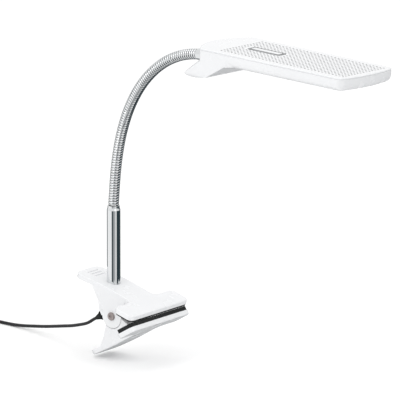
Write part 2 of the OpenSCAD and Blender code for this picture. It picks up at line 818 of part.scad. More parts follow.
upper_jaw();
lower_jaw();
upper_jaw_pad();
lower_jaw_pad();
pivot_pin();
pivot_clip();
torsion_spring();
stem_tube();
stem_nipple();
stem_washer();
stem_nut();
neck_sleeve_1();
neck_sleeve_2();
neck_sleeve_3();
neck_sleeve_4();
neck_sleeve_5();
neck_sleeve_6();
neck_sleeve_7();
neck_sleeve_8();
neck_sleeve_9();
neck_sleeve_10();
neck_ferrule();
ferrule_nut();
head_shell();
top_cover();
fin_liner();
diffuser();
led_board();
leds();
heat_plate();
board_screws();
driver_board();
driver_parts();
switch_body();
switch_frame();
switch_button();
cover_screws();
head_lead();
clamp_lead();
strain_relief();
cord();
cord_coil();
cord_tail();
plug_relief();
plug_grip();
plug_shell();
plug_tongue();
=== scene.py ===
import json
import math

import bmesh
import bpy
from mathutils import Matrix, Vector
from mathutils.geometry import delaunay_2d_cdt


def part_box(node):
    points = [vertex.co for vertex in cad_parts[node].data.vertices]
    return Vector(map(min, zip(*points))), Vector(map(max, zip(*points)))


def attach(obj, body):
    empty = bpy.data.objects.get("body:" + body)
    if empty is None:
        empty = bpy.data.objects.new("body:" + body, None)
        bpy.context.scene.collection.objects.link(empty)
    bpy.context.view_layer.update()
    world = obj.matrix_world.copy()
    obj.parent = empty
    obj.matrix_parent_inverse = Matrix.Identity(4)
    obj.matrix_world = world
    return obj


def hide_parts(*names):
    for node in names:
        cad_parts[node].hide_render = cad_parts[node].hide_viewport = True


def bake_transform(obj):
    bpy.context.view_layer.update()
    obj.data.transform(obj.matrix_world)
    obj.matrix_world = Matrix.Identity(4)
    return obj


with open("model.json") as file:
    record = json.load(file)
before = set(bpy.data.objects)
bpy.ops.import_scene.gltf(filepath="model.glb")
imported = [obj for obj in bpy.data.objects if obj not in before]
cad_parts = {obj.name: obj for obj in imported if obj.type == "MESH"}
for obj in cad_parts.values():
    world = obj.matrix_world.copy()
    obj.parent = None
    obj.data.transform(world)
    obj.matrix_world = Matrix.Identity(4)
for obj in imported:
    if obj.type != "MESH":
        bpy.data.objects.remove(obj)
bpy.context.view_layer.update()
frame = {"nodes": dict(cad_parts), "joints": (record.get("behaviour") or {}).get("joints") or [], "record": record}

MM = 0.001
TAU = 2 * math.pi
JOINTS = {j["name"]: j for j in frame["joints"]}


# ---------------------------------------------------------------- places

def mm_point(p):
    """Point of the frame in millimetres."""
    return Vector(p) / MM


PIVOT = mm_point(JOINTS["clamp_open"]["pos_m"])
CLAMP_TILT = math.radians(7.8)
HALF_ANGLE = math.radians(23.2)
FLOOR_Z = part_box("cord_coil")[0][2] / MM
STEM_X = (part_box("stem_tube")[0][0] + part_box("stem_tube")[1][0]) / 2 / MM
STEM_TOP = 104.0
NECK_LEN = 227.5
NECK_START, NECK_END, NECK_POWER = 3.5, 84.0, 1.75
SLEEVES = 10
HEAD_BACK, HEAD_RISE, AXIS_DROP, HEAD_ROLL = 55.0, 2.4, 13.5, 3.6
CORD_D = 3.3
BOOT_DIR = Vector((-0.87, 0, -0.493)).normalized()
BOOT_FOOT = PIVOT + Vector((-3.46, 0, 6.14))


def turn(axis, degrees):
    return Matrix.Rotation(math.radians(degrees), 4, axis)


def lever_frame(upper):
    """Lever's own frame: x towards the jaws, z outwards, origin on the pivot."""
    flip = Matrix.Identity(4) if upper else Matrix.Scale(-1, 4, (0, 0, 1))
    tilt = Matrix.Rotation(-CLAMP_TILT, 4, "Y")
    return Matrix.Translation(PIVOT) @ tilt @ flip @ Matrix.Rotation(HALF_ANGLE, 4, "Y")


def lean(k):
    """Gooseneck's angle from upright in degrees, k sleeves from the stem."""
    return NECK_START + (NECK_END - NECK_START) * (k / SLEEVES) ** NECK_POWER


def neck_points():
    """Ends of the gooseneck's sleeves."""
    at = [Vector((STEM_X, 0, STEM_TOP))]
    for k in range(SLEEVES):
        bend, middle = math.radians(lean(k + 1) - lean(k)), math.radians((lean(k) + lean(k + 1)) / 2)
        chord = NECK_LEN / SLEEVES * math.sin(bend / 2) / (bend / 2)
        at.append(at[-1] + chord * Vector((math.sin(middle), 0, math.cos(middle))))
    return at


NECK = neck_points()


def neck_at(s):
    """Place and direction on the gooseneck's middle line, s in sleeves from the stem."""
    k = min(max(int(math.floor(s)), 0), SLEEVES - 1)
    a, part = lean(k), s - k
    b = a + (lean(k + 1) - a) * part
    length = NECK_LEN / SLEEVES * part
    half = math.radians((b - a) / 2)
    chord = length * (math.sin(half) / half if abs(half) > 1e-9 else 1)
    middle, end = math.radians((a + b) / 2), math.radians(b)
    centre = NECK[k] + chord * Vector((math.sin(middle), 0, math.cos(middle)))
    return centre, Vector((math.sin(end), 0, math.cos(end)))


TIP = NECK[-1]
TIP_FRAME = Matrix.Translation(TIP) @ turn("Y", NECK_END)
HEAD_FRAME = (
    Matrix.Translation(TIP + Vector((HEAD_BACK, 0, HEAD_RISE)))
    @ turn("X", -HEAD_ROLL)
    @ Matrix.Translation((0, 0, AXIS_DROP))
)
UPPER = lever_frame(True)
LOWER = lever_frame(False)
LOWER_SHELL = LOWER @ Matrix.Translation((0, 0, 1.4))
PLUG_AT = Vector((-282.35, -48, FLOOR_Z + CORD_D / 2 + 2.4))


# ---------------------------------------------------------------- camera

AZIMUTH, ELEVATION = math.radians(40.3), math.radians(15.3)
TARGET = Vector((0.054, 0, 0.1288))
DISTANCE = 18.0

camera = bpy.data.objects.new("camera", bpy.data.cameras.new("camera"))
bpy.context.scene.collection.objects.link(camera)
out = Vector((
    math.cos(ELEVATION) * math.sin(AZIMUTH),
    -math.cos(ELEVATION) * math.cos(AZIMUTH),
    math.sin(ELEVATION),
))
camera.location = TARGET + DISTANCE * out
camera.rotation_euler = (-out).to_track_quat("-Z", "Y").to_euler()
camera.data.lens = 1620
camera.data.sensor_width = 36
camera.data.clip_end = 200
bpy.context.scene.camera = camera
bpy.context.scene.view_settings.view_transform = "Standard"


# ---------------------------------------------------------------- materials

class Nodes:
    """Short way to build a node material."""

    def __init__(self, name):
        self.material = bpy.data.materials.new(name)
        self.material.use_nodes = True
        self.tree = self.material.node_tree
        self.shader = self.tree.nodes["Principled BSDF"]
        self.place = self.add("ShaderNodeTexCoord").outputs["Object"]

    def add(self, kind, **values):
        node = self.tree.nodes.new(kind)
        for key, value in values.items():
            if hasattr(node, key):
                setattr(node, key, value)
            else:
                node.inputs[key.replace("_", " ")].default_value = value
        return node

    def link(self, a, b):
        self.tree.links.new(a, b)

    def set(self, **values):
        for key, value in values.items():
            self.shader.inputs[key.replace("_", " ")].default_value = value

    def noise(self, scale, detail=3.0, stretch=(1, 1, 1)):
        mapping = self.add("ShaderNodeMapping")
        mapping.inputs["Scale"].default_value = stretch
        self.link(self.place, mapping.inputs["Vector"])
        node = self.add("ShaderNodeTexNoise", Scale=scale, Detail=detail)
        self.link(mapping.outputs["Vector"], node.inputs["Vector"])
        return node.outputs["Fac"]

    def ramp(self, source, stops, socket):
        node = self.add("ShaderNodeValToRGB")
        ramp = node.color_ramp
        while len(ramp.elements) < len(stops):
            ramp.elements.new(0.5)
        for element, (where, colour) in zip(ramp.elements, stops):
            element.position = where
            element.color = (*colour, 1)
        self.link(source, node.inputs["Fac"])
        self.link(node.outputs["Color"], self.shader.inputs[socket])

    def spread(self, source, low, high, socket):
        node = self.add("ShaderNodeMapRange")
        node.inputs["To Min"].default_value = low
        node.inputs["To Max"].default_value = high
        self.link(source, node.inputs["Value"])
        self.link(node.outputs["Result"], self.shader.inputs[socket])

    def bump(self, source, strength, distance):
        node = self.add("ShaderNodeBump", Strength=strength, Distance=distance)
        self.link(source, node.inputs["Height"])
        self.link(node.outputs["Normal"], self.shader.inputs["Normal"])


def plastic(name, dark, light, rough, coat=0.0, grain=900.0, bump=0.05, shine=0.5):
    """Moulded plastic or rubber with a faint mottle and grain."""
    m = Nodes(name)
    m.ramp(m.noise(14, 2), [(0.3, dark), (0.7, light)], "Base Color")
    m.spread(m.noise(60, 4), rough - 0.04, rough + 0.05, "Roughness")
    m.bump(m.noise(grain, 2), bump, 0.0002)
    m.set(Coat_Weight=coat, Coat_Roughness=0.08, IOR=1.49, Specular_IOR_Level=shine)
    return m.material


def metal(name, dark, light, rough, stretch=(1, 1, 1), grain=500.0, bump=0.03):
    """Metal with a fine grain that stretch can draw out along an axis."""
    m = Nodes(name)
    m.ramp(m.noise(25, 3), [(0.3, dark), (0.7, light)], "Base Color")
    m.spread(m.noise(grain, 3, stretch), rough * 0.7, rough * 1.4, "Roughness")
    m.bump(m.noise(grain, 2, stretch), bump, 0.0001)
    m.set(Metallic=1.0)
    return m.material


WHITE = plastic(
    "white_gloss_plastic", (0.775, 0.782, 0.795), (0.80, 0.806, 0.818), 0.26,
    coat=0.35, grain=1500, bump=0.008,
)
BLACK = plastic(
    "black_rubber", (0.006, 0.007, 0.0075), (0.015, 0.016, 0.0165), 0.55,
    grain=1600, bump=0.1, shine=0.22,
)
SHEATH = plastic(
    "lead_sheath", (0.006, 0.006, 0.007), (0.014, 0.014, 0.016), 0.34,
    grain=1200, bump=0.06, shine=0.3,
)
CHROME = metal("chrome_plate", (0.70, 0.72, 0.73), (0.78, 0.79, 0.80), 0.06, bump=0.01)
# dark chrome painted into the gooseneck's grooves: painted shade, the grooves being chrome too
GROOVE_SHADE_CHROME = metal("chrome_groove_painted_shade", (0.04, 0.045, 0.05), (0.07, 0.075, 0.08), 0.3)
STEEL = metal("zinc_steel", (0.50, 0.51, 0.52), (0.64, 0.65, 0.66), 0.3, (1, 12, 1), 700, 0.1)
PIN_METAL = metal("pin_metal", (0.30, 0.26, 0.255), (0.42, 0.37, 0.36), 0.32, (1, 1, 1), 700, 0.12)
BRASS = metal("brass", (0.60, 0.45, 0.20), (0.72, 0.56, 0.28), 0.24, (1, 1, 12))
ALUMINIUM = metal("aluminium_sheet", (0.20, 0.19, 0.18), (0.27, 0.25, 0.235), 0.5, (14, 1, 1), 300, 0.1)
GREY = plastic("grey_satin_plastic", (0.56, 0.565, 0.575), (0.62, 0.625, 0.635), 0.4, grain=1500, bump=0.06)
# grey of the switch bezel, also put on the white cover's hole walls as painted shade
BEZEL_AND_HOLE_SHADE = plastic(
    "bezel_grey_and_hole_shade", (0.20, 0.205, 0.21), (0.25, 0.255, 0.26), 0.42,
    grain=1500, bump=0.06, shine=0.3,
)
OPAL = plastic("opal_plastic", (0.84, 0.85, 0.84), (0.89, 0.9, 0.89), 0.45, grain=1400, bump=0.15)
BOARD_WHITE = plastic("white_board", (0.72, 0.73, 0.71), (0.8, 0.81, 0.79), 0.4)
BOARD_GREEN = plastic("green_board", (0.02, 0.11, 0.05), (0.03, 0.16, 0.07), 0.35)
PHOSPHOR = plastic("led_phosphor", (0.75, 0.55, 0.12), (0.85, 0.68, 0.2), 0.3)
DARK = plastic("dark_plastic", (0.018, 0.018, 0.02), (0.035, 0.035, 0.038), 0.4)
INSULATOR = plastic("white_insulator", (0.72, 0.72, 0.71), (0.8, 0.8, 0.79), 0.45)
CAD_MATERIALS = {
    "white_gloss": WHITE, "black_rubber": BLACK, "lead_black": SHEATH, "chrome": CHROME, "steel": STEEL,
    "pin_metal": PIN_METAL, "brass": BRASS, "grey_plastic": GREY, "bezel_grey": BEZEL_AND_HOLE_SHADE, "diffuser": OPAL,
    "board_white": BOARD_WHITE, "led": PHOSPHOR, "alu": ALUMINIUM, "board_green": BOARD_GREEN,
    "dark_plastic": DARK, "white_matte": INSULATOR,
}
SLOT_OF = {s["node"]: s["material_slot"] for s in frame["record"]["subparts"]}
for node_name, node_object in frame["nodes"].items():
    node_object.data.materials.clear()
    node_object.data.materials.append(CAD_MATERIALS[SLOT_OF[node_name]])


# ---------------------------------------------------------------- mesh helpers

def finish_mesh(bm, name, material, sharp=32.0):
    """Turns a bmesh in millimetres into a linked object in metres, smooth except at edges over an angle."""
    bmesh.ops.recalc_face_normals(bm, faces=bm.faces)
    for face in bm.faces:
        face.smooth = True
    for edge in bm.edges:
        if len(edge.link_faces) == 2:
            edge.smooth = edge.calc_face_angle(0) < math.radians(sharp)
    bmesh.ops.scale(bm, vec=(MM, MM, MM), verts=bm.verts)
    mesh = bpy.data.meshes.new(name)
    bm.to_mesh(mesh)
    bm.free()
    mesh.materials.append(material)
    made = bpy.data.objects.new(name, mesh)
    bpy.context.scene.collection.objects.link(made)
    return made


def stack(bm, loops, at=None, caps=(True, True), closed=False):
    """Skin over loops of points that all have the same count."""
    at = at or Matrix.Identity(4)
    rows = [[bm.verts.new(at @ Vector(p)) for p in loop] for loop in loops]
    count = len(rows[0])
    pairs = list(zip(rows, rows[1:]))
    if closed:
        pairs.append((rows[-1], rows[0]))
    for a, b in pairs:
        for i in range(count):
            j = (i + 1) % count
            bm.faces.new((a[i], a[j], b[j], b[i]))
    if not closed:
        if caps[0]:
            bm.faces.new(list(reversed(rows[0])))
        if caps[1]:
            bm.faces.new(rows[-1])
    return rows


def arc(cx, cy, r, a0, a1, n):
    """n + 1 points of an arc, angles in degrees."""
    angles = [math.radians(a0 + (a1 - a0) * i / n) for i in range(n + 1)]
    return [(cx + r * math.cos(a), cy + r * math.sin(a)) for a in angles]


def inset(outline, d):
    """Outline drawn in by d, for an anticlockwise outline."""
    made = []
    n = len(outline)
    for i, (x, y) in enumerate(outline):
        (ax, ay), (bx, by) = outline[i - 1], outline[(i + 1) % n]
        u = Vector((x - ax, y - ay)).normalized()
        v = Vector((bx - x, by - y)).normalized()
        nu, nv = Vector((-u.y, u.x)), Vector((-v.y, v.x))
        m = (nu + nv).normalized()
        scale = d / max(0.35, m.dot(nu))
        made.append((x + m.x * scale, y + m.y * scale))
    return made


def tidy(outline, least=0.05):
    """Outline without repeated points."""
    kept = []
    for p in outline:
        if not kept or math.dist(p, kept[-1]) > least:
            kept.append(p)
    if math.dist(kept[0], kept[-1]) <= least:
        kept.pop()
    return kept


def rounded(w, h, r, n=6):
    """Rectangle centred on the origin with rounded corners, anticlockwise."""
    x, y = w / 2 - r, h / 2 - r
    corners = ((x, y), (-x, y), (-x, -y), (x, -y))
    return tidy([p for i, (cx, cy) in enumerate(corners) for p in arc(cx, cy, r, 90 * i, 90 * i + 90, n)])


def quarter_round(r, z, way, n):
    """(inset, z) pairs of an edge's rounding, from the flat at z to the side, which lies in direction way."""
    angles = [math.pi / 2 * (1 - i / n) for i in range(n + 1)]
    return [(r * (1 - math.cos(t)), z + way * r * (1 - math.sin(t))) for t in angles]


def edge_profile(z0, z1, r0, r1, n=4):
    """(inset, z) pairs from the bottom at z0 to the top at z1, with rounded edges."""
    return quarter_round(r0, z0, 1, n) + quarter_round(r1, z1, -1, n)[::-1]


def slab_loops(outline, profile):
    """Loops of an outline drawn in by each (inset, z) pair of a profile."""
    return [[(x, y, z) for x, y in inset(outline, d)] for d, z in profile]


def slab(bm, outline, z0, z1, r0=0.4, r1=0.4, at=None, n=4):
    """Plate between two heights with rounded edges."""
    stack(bm, slab_loops(outline, edge_profile(z0, z1, r0, r1, n)), at)


def lathe(bm, profile, at=None, sides=48):
    """Surface of revolution about z from (radius, z) pairs. A closed profile makes a ring."""
    closed = profile[0] == profile[-1]
    points = profile[:-1] if closed else profile
    round_it = [(math.cos(TAU * i / sides), math.sin(TAU * i / sides)) for i in range(sides)]
    loops = [[(r * c, r * d, z) for c, d in round_it] for r, z in points]
    stack(bm, loops, at, closed=closed)


def tube_rows(points, r, sides, side):
    """Rings of a tube along points, each square to the path."""
    made = []
    for i, p in enumerate(points):
        t = (points[min(i + 1, len(points) - 1)] - points[max(i - 1, 0)]).normalized()
        a = side.cross(t).normalized()
        b = t.cross(a)
        angles = [TAU * k / sides for k in range(sides)]
        made.append([p + r * (a * math.cos(w) + b * math.sin(w)) for w in angles])
    return made


def evaluated(obj):
    """Applies an object's modifiers."""
    graph = bpy.context.evaluated_depsgraph_get()
    mesh = bpy.data.meshes.new_from_object(obj.evaluated_get(graph))
    obj.modifiers.clear()
    obj.data = mesh
    return obj


def carve(obj, *others, how="DIFFERENCE"):
    """Boolean of an object with others, which are used up."""
    for other in others:
        mod = obj.modifiers.new("cut", "BOOLEAN")
        mod.operation = how
        mod.solver = "EXACT"
        mod.object = other
        evaluated(obj)
        bpy.data.objects.remove(other)
    return obj


def resharpen(obj, sharp=32.0):
    """Smooth shading with sharp edges over an angle, after a boolean."""
    bm = bmesh.new()
    bm.from_mesh(obj.data)
    bmesh.ops.remove_doubles(bm, verts=bm.verts, dist=1e-7)
    bmesh.ops.dissolve_degenerate(bm, edges=bm.edges, dist=1e-6)
    for face in bm.faces:
        face.smooth = True
    for edge in bm.edges:
        edge.smooth = len(edge.link_faces) != 2 or edge.calc_face_angle(0) < math.radians(sharp)
    bm.to_mesh(obj.data)
    bm.free()
    return obj


def place(obj, body, slot, *nodes):
    """Rides on a body and stands for CAD nodes; the slot is not used."""
    if obj.type == "MESH":
        even = obj.modifiers.new("even_shading", "WEIGHTED_NORMAL")
        even.keep_sharp = True
    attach(obj, body)
    if nodes:
        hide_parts(*nodes)
    return obj


# ---------------------------------------------------------------- lead

ON_FLOOR = FLOOR_Z + CORD_D / 2
LEAD_END = BOOT_FOOT + 36 * BOOT_DIR
COIL_AT = Vector((-258, -5))
COIL_OUT, COIL_IN = 24.3, 14.1
COIL_TURNS, LAYER_TURNS, LAYER_RISE = 8.25, 4, 3.4
TURN_POINTS = 24

ROUTE = [LEAD_END, LEAD_END + 4 * BOOT_DIR] + [Vector(p) for p in (
    (-95, 0.5, -26), (-107, 2.5, -30.4), (-120, 5, -34.4), (-135, 8.5, -38.2), (-150, 12, -42),
    (-166, 15.5, -45.8), (-182, 18.3, -49), (-196, 19.6, -51.4), (-208, 20, -52.7),
    (-220, 20, ON_FLOOR), (-234, 19.8, ON_FLOOR),
)]


def coil_points():
    """Two flat layers of turns, the lower one inwards and the upper one outwards."""
    pitch = (COIL_OUT - COIL_IN) / 3
    made = []
    steps = int(COIL_TURNS * TURN_POINTS)
    for i in range(steps + 1):
        done = COIL_TURNS * i / steps
        angle = math.radians(90) + TAU * done
        r = COIL_OUT - pitch * done if done <= LAYER_TURNS else COIL_IN + pitch * (done - LAYER_TURNS - 0.5)
        r = min(max(r, COIL_IN), COIL_OUT)
        lift = min(1.0, max(0.0, (done - LAYER_TURNS + 0.4) / 0.5))
        z = ON_FLOOR + LAYER_RISE * lift
        made.append(Vector((COIL_AT.x + r * math.cos(angle), COIL_AT.y + r * math.sin(angle), z)))
    return made


TAIL_YZ = ((-14, 2.9), (-22, 1.6), (-30, 0.8), (-38, 1.5), (-44, 2.3))
TAIL = [Vector((PLUG_AT.x, y, ON_FLOOR + z)) for y, z in TAIL_YZ] + [PLUG_AT]


cord_line = ROUTE + coil_points() + TAIL
cord_curve = bpy.data.curves.new("lead", "CURVE")
cord_curve.dimensions = "3D"
cord_curve.bevel_depth = CORD_D / 2 * MM
cord_curve.bevel_resolution = 5
cord_curve.use_fill_caps = True
cord_curve.resolution_u = 4
spline = cord_curve.splines.new("BEZIER")
spline.bezier_points.add(len(cord_line) - 1)
for i, point in enumerate(cord_line):
    knot = spline.bezier_points[i]
    before, after = cord_line[max(i - 1, 0)], cord_line[min(i + 1, len(cord_line) - 1)]
    along = (after - before).normalized()
    knot.co = point * MM
    knot.handle_left = (point - along * (point - before).length / 3) * MM
    knot.handle_right = (point + along * (after - point).length / 3) * MM
cord_curve.materials.append(SHEATH)
lead = bpy.data.objects.new("lead", cord_curve)
bpy.context.scene.collection.objects.link(lead)
place(lead, "base", "lead_black", "cord", "cord_coil", "cord_tail")


# ---------------------------------------------------------------- plug

PLUG_FRAME = Matrix.Translation(PLUG_AT) @ turn("X", 90)
RELIEF_L, BODY_L = 12, 30
RIB_STEP = 3.2

bm = bmesh.new()
profile = [(1.7, 0)]
for i in range(4):
    z, r = RIB_STEP * i, 2.3 + 0.125 * RIB_STEP * i
    profile.append((r, z))
    profile += [(r + 0.25, z + 2.2), (r - 0.3, z + 2.4)] if i < 3 else [(r + 0.3, RELIEF_L), (1.7, RELIEF_L)]
lathe(bm, profile, PLUG_FRAME, 40)
plug_relief = finish_mesh(bm, "plug_strain_relief", SHEATH)
place(plug_relief, "base", "lead_black", "plug_relief")

bm = bmesh.new()
slab(bm, rounded(16, 8, 2.2), RELIEF_L, RELIEF_L + BODY_L, 1.2, 0.5, PLUG_FRAME)
for side in (-1, 1):
    for i in range(5):
        at = PLUG_FRAME @ Matrix.Translation((0, side * 3.68, RELIEF_L + 7 + 3 * i)) @ turn("X", 90)
        slab(bm, rounded(9, 1.2, 0.55, 4), -0.35, 0.35, 0.2, 0.2, at, 2)
plug_grip = finish_mesh(bm, "plug_grip_body", SHEATH)
place(plug_grip, "base", "lead_black", "plug_grip")

# ---------------------------------------------------------------- strain relief

bm = bmesh.new()
boot = [
    (1.7, 10.7), (4.2, 10.7), (4.2, 12.2), (4.5, 14.6), (4.5, 26.6), (4.9, 26.8), (5.1, 27), (5.1, 27.8),
    (4.85, 28.1), (4.3, 29), (3.7, 30.4), (3.1, 32.2), (2.6, 34), (2.2, 35.6), (2.05, 36), (1.7, 36),
    (1.7, 10.7),
]
AIM = BOOT_DIR.to_track_quat("Z", "Y").to_matrix().to_4x4()
lathe(bm, boot, Matrix.Translation(BOOT_FOOT) @ AIM, 48)
place(finish_mesh(bm, "strain_relief_boot", BLACK), "base", "black_rubber", "strain_relief")

# ---------------------------------------------------------------- clamp levers

HANDLE_W, HANDLE_R = 18, 9
WING_X, JAW_FRONT, JAW_HALF = 20, 44, 45
BEND_X, BEND_R = -4, 480
NOTCH_R, WING_R = 6.5, 6
RIM_TOP, RIM_LOW, POCKET = 26, 21, 23.4
LEVER_EDGE_R = 1.3
UPPER_END, LOWER_END = -57, -48
LOBE_R = 12.5
EAR_IN, LUG_IN, LUG_OUT, WALL_IN, SIDE_OUT = 15.4, 12.4, 15.02, 14.6, 17.96


def lever_plan(end):
    """Plan of a lever whose handle ends at x = end."""
    return tidy(
        arc(end + HANDLE_R, HANDLE_W - HANDLE_R, HANDLE_R, 90, 180, 14)
        + arc(end + HANDLE_R, -HANDLE_W + HANDLE_R, HANDLE_R, 180, 270, 14)
        + arc(WING_X - NOTCH_R, -HANDLE_W - NOTCH_R, NOTCH_R, 90, 0, 10)
        + arc(WING_X + WING_R, -JAW_HALF + WING_R, WING_R, 180, 270, 10)
        + arc(JAW_FRONT - WING_R, -JAW_HALF + WING_R, WING_R, 270, 360, 10)
        + arc(JAW_FRONT - WING_R, JAW_HALF - WING_R, WING_R, 0, 90, 10)
        + arc(WING_X + WING_R, JAW_HALF - WING_R, WING_R, 90, 180, 10)
        + arc(WING_X - NOTCH_R, HANDLE_W + NOTCH_R, NOTCH_R, 0, -90, 10)
    )


def bent_drop(x):
    """How far a lever's surface has bent inwards at x."""
    return BEND_R - math.sqrt(BEND_R ** 2 - (x - BEND_X) ** 2) if x < BEND_X else 0


def lever_shell(bm, end, at):
    """Moulded lever: rounded outer edge, rim and a pocket underneath, bent along its handle."""
    rim = [(0, RIM_LOW + 0.3), (0.3, RIM_LOW), (2.1, RIM_LOW), (2.4, RIM_LOW + 0.3)]
    inside = [(2.5, POCKET - 0.5), (3.0, POCKET)]
    stack(bm, slab_loops(lever_plan(end), quarter_round(LEVER_EDGE_R, RIM_TOP, -1, 5) + rim + inside))
    for x in range(BEND_X, end, -4):
        geom = [*bm.verts, *bm.edges, *bm.faces]
        bmesh.ops.bisect_plane(bm, geom=geom, plane_co=(x, 0, 0), plane_no=(1, 0, 0), dist=1e-4)
    for vert in bm.verts:
        vert.co.z -= bent_drop(vert.co.x)
    bm.transform(at)


def ear(bm, outline, y0, y1, at):
    """Upright plate with softened edges, drawn in the lever's x and z."""
    turned = at @ Matrix.Rotation(math.pi / 2, 4, "X")
    slab(bm, outline, -y1, -y0, 0.4, 0.4, turned, 3)


def anticlockwise(outline):
    """Outline in anticlockwise order."""
    area = sum(a[0] * b[1] - b[0] * a[1] for a, b in zip(outline, outline[1:] + outline[:1]))
    return outline if area > 0 else outline[::-1]


def lobe_plate(front, back):
    """Plate from a lever's skin down to a round end about the pivot."""
    a0 = math.degrees(math.atan2(front[-1][1], front[-1][0]))
    a1 = math.degrees(math.atan2(back[0][1], back[0][0])) - 360
    lobe = arc(0, 0, LOBE_R, a0, a1, 36)
    return anticlockwise(tidy([*front, *lobe, *back]))


UPPER_EAR = lobe_plate(
    [(19, 23), (19, 21), (11.2, 7.6)],
    [(-14.8, 1.4), (-18.2, 5.5), (-25, 12), (-32, 19), (-33, 23)],
)
LOWER_EAR = lobe_plate(
    [(19, 25.4), (19, 21), (11.2, 7.6)],
    [(-12.2, 4.6), (-19.4, 12.9), (-28, 20), (-34, 25)],
)
LOWER_WALL = anticlockwise(tidy([
    (-34.15, 24.8), (-28.15, 19.85), (-19.55, 12.75),
    *arc(0, 0, LOBE_R + 0.4, 158, 34, 24),
    (19.1, 20.9), (19.1, 25.2),
]))


def cylinder(name, r, z0, z1, at, sides=64):
    """Plain cylinder for booleans."""
    bm = bmesh.new()
    lathe(bm, [(0.001, z0), (r, z0), (r, z1), (0.001, z1)], at, sides)
    return finish_mesh(bm, name, WHITE)


def single(name, make, material=WHITE):
    """Object from one bmesh that make() fills."""
    bm = bmesh.new()
    make(bm)
    return finish_mesh(bm, name, material)


def both_sides(name, outline, y_in, y_out, at):
    """The same upright plate on the near side and on the far side."""
    pair = [sorted((s * y_in, s * y_out)) for s in (-1, 1)]
    return [single(name, lambda bm, ends=ends: ear(bm, outline, *ends, at)) for ends in pair]


def box_plan(x0, x1, half):
    """Rectangle from x0 to x1, as wide as half to each side."""
    return [(x1, -half), (x1, half), (x0, half), (x0, -half)]


PIN_FRAME = Matrix.Translation(PIVOT) @ turn("X", -90)
PIN_HOLE_R = 2.05
BOOT_FRAME = Matrix.Translation(BOOT_FOOT) @ turn("Y", -math.degrees(math.acos(BOOT_DIR.z)))

upper = single("clamp_upper_lever", lambda bm: lever_shell(bm, UPPER_END, UPPER))
stem_base = Matrix.Translation((STEM_X, 0, PIVOT.z))
boss = cylinder("boss", 8, 17.5, 34, stem_base)
carve(boss, single("crop", lambda bm: slab(bm, rounded(120, 60, 1), RIM_TOP - 0.8, 60, 0.1, 0.1, UPPER)))
web = single("web", lambda bm: slab(bm, box_plan(-1.4, 6.6, 15.6), 12.2, 14.6, 0.3, 0.3, BOOT_FRAME, 2))
foot_plan = box_plan(-6.8, -0.5, 8)
web_foot = single("web_foot", lambda bm: slab(bm, foot_plan, 12.25, 14.55, 0.3, 0.3, BOOT_FRAME, 2))
GUSSET = anticlockwise([(-24, 11), (-20.5, 2), (-20, -0.8), (-14.8, -5.8), (-13.6, -3), (-13.3, 2), (-16, 8)])
parts = [*both_sides("ear", UPPER_EAR, EAR_IN, SIDE_OUT, UPPER), boss, web, web_foot]
parts += both_sides("gusset", GUSSET, 14, 15.6, UPPER)
carve(upper, *parts, how="UNION")

GRIP_X, GRIP_L, GRIP_R = (-48.6, -43.8, -38.9), 15.5, 0.9
cuts = []
for x in GRIP_X:
    at = UPPER @ Matrix.Translation((x, 0.6, RIM_TOP - bent_drop(x))) @ turn("X", 90)
    cuts.append(cylinder("groove", GRIP_R, -GRIP_L / 2, GRIP_L / 2, at, 20))
for s in (-1, 1):
    at = UPPER @ Matrix.Translation((12.7, s * 18, 20)) @ turn("X", 90)
    cuts.append(cylinder("dimple", 0.8, -0.8, 0.8, at, 24))
cuts.append(cylinder("pin_hole", PIN_HOLE_R, -40, 40, PIN_FRAME, 40))
cuts.append(cylinder("stem_seat", 6.98, 24, 60, stem_base, 64))
cuts.append(cylinder("nipple_seat", 4.82, 0, 60, stem_base, 48))
cuts.append(cylinder("boot_seat", 3.1, 6, 20, BOOT_FRAME, 40))
carve(upper, *cuts)
place(resharpen(upper), "base", "white_gloss", "upper_jaw")

lower = single("clamp_lower_lever", lambda bm: lever_shell(bm, LOWER_END, LOWER_SHELL))
lugs = both_sides("lug", LOWER_EAR, LUG_IN, LUG_OUT, LOWER)
walls = both_sides("wall", LOWER_WALL, WALL_IN, SIDE_OUT, LOWER)
carve(lower, lugs[0], walls[0], lugs[1], walls[1], how="UNION")
carve(lower, cylinder("pin_hole", PIN_HOLE_R, -40, 40, PIN_FRAME, 40))
place(resharpen(lower), "lower_lever", "white_gloss", "lower_jaw")

# ---------------------------------------------------------------- jaw pads

PAD_BACK, PAD_FRONT, PAD_HALF, PAD_R = 21, 43.7, 44, 5
PAD_PROUD = 0.12


def pad(name, thick, at):
    """Rubber pad with grooves across its gripping face, behind a plain front strip."""
    back, front, side = PAD_BACK + PAD_R, PAD_FRONT - PAD_R, PAD_HALF - PAD_R
    outline = tidy(
        arc(back, -side, PAD_R, 180, 270, 8) + arc(front, -side, PAD_R, 270, 360, 8)
        + arc(front, side, PAD_R, 0, 90, 8) + arc(back, side, PAD_R, 90, 180, 8)
    )
    low = RIM_LOW - thick - PAD_PROUD
    made = single(name, lambda bm: slab(bm, outline, low, RIM_LOW + 0.3, 0.2, 0.1, at, 3), BLACK)
    bar = rounded(1, 2 * PAD_HALF + 4, 0.3, 2)
    teeth = []
    for i in range(8):
        here = at @ Matrix.Translation((PAD_FRONT - 3.6 - 2.4 * i, 0, 0))
        teeth.append(single("groove", lambda bm: slab(bm, bar, low - 1, low + 0.5, 0.1, 0.2, here, 2), BLACK))
    return resharpen(carve(made, *teeth))


for name, thick, at, body in (("upper", 1.6, UPPER, "base"), ("lower", 4.0, LOWER_SHELL, "lower_lever")):
    place(pad(name + "_pad", thick, at), body, "black_rubber", name + "_jaw_pad")

# ---------------------------------------------------------------- hinge pin, clip and spring

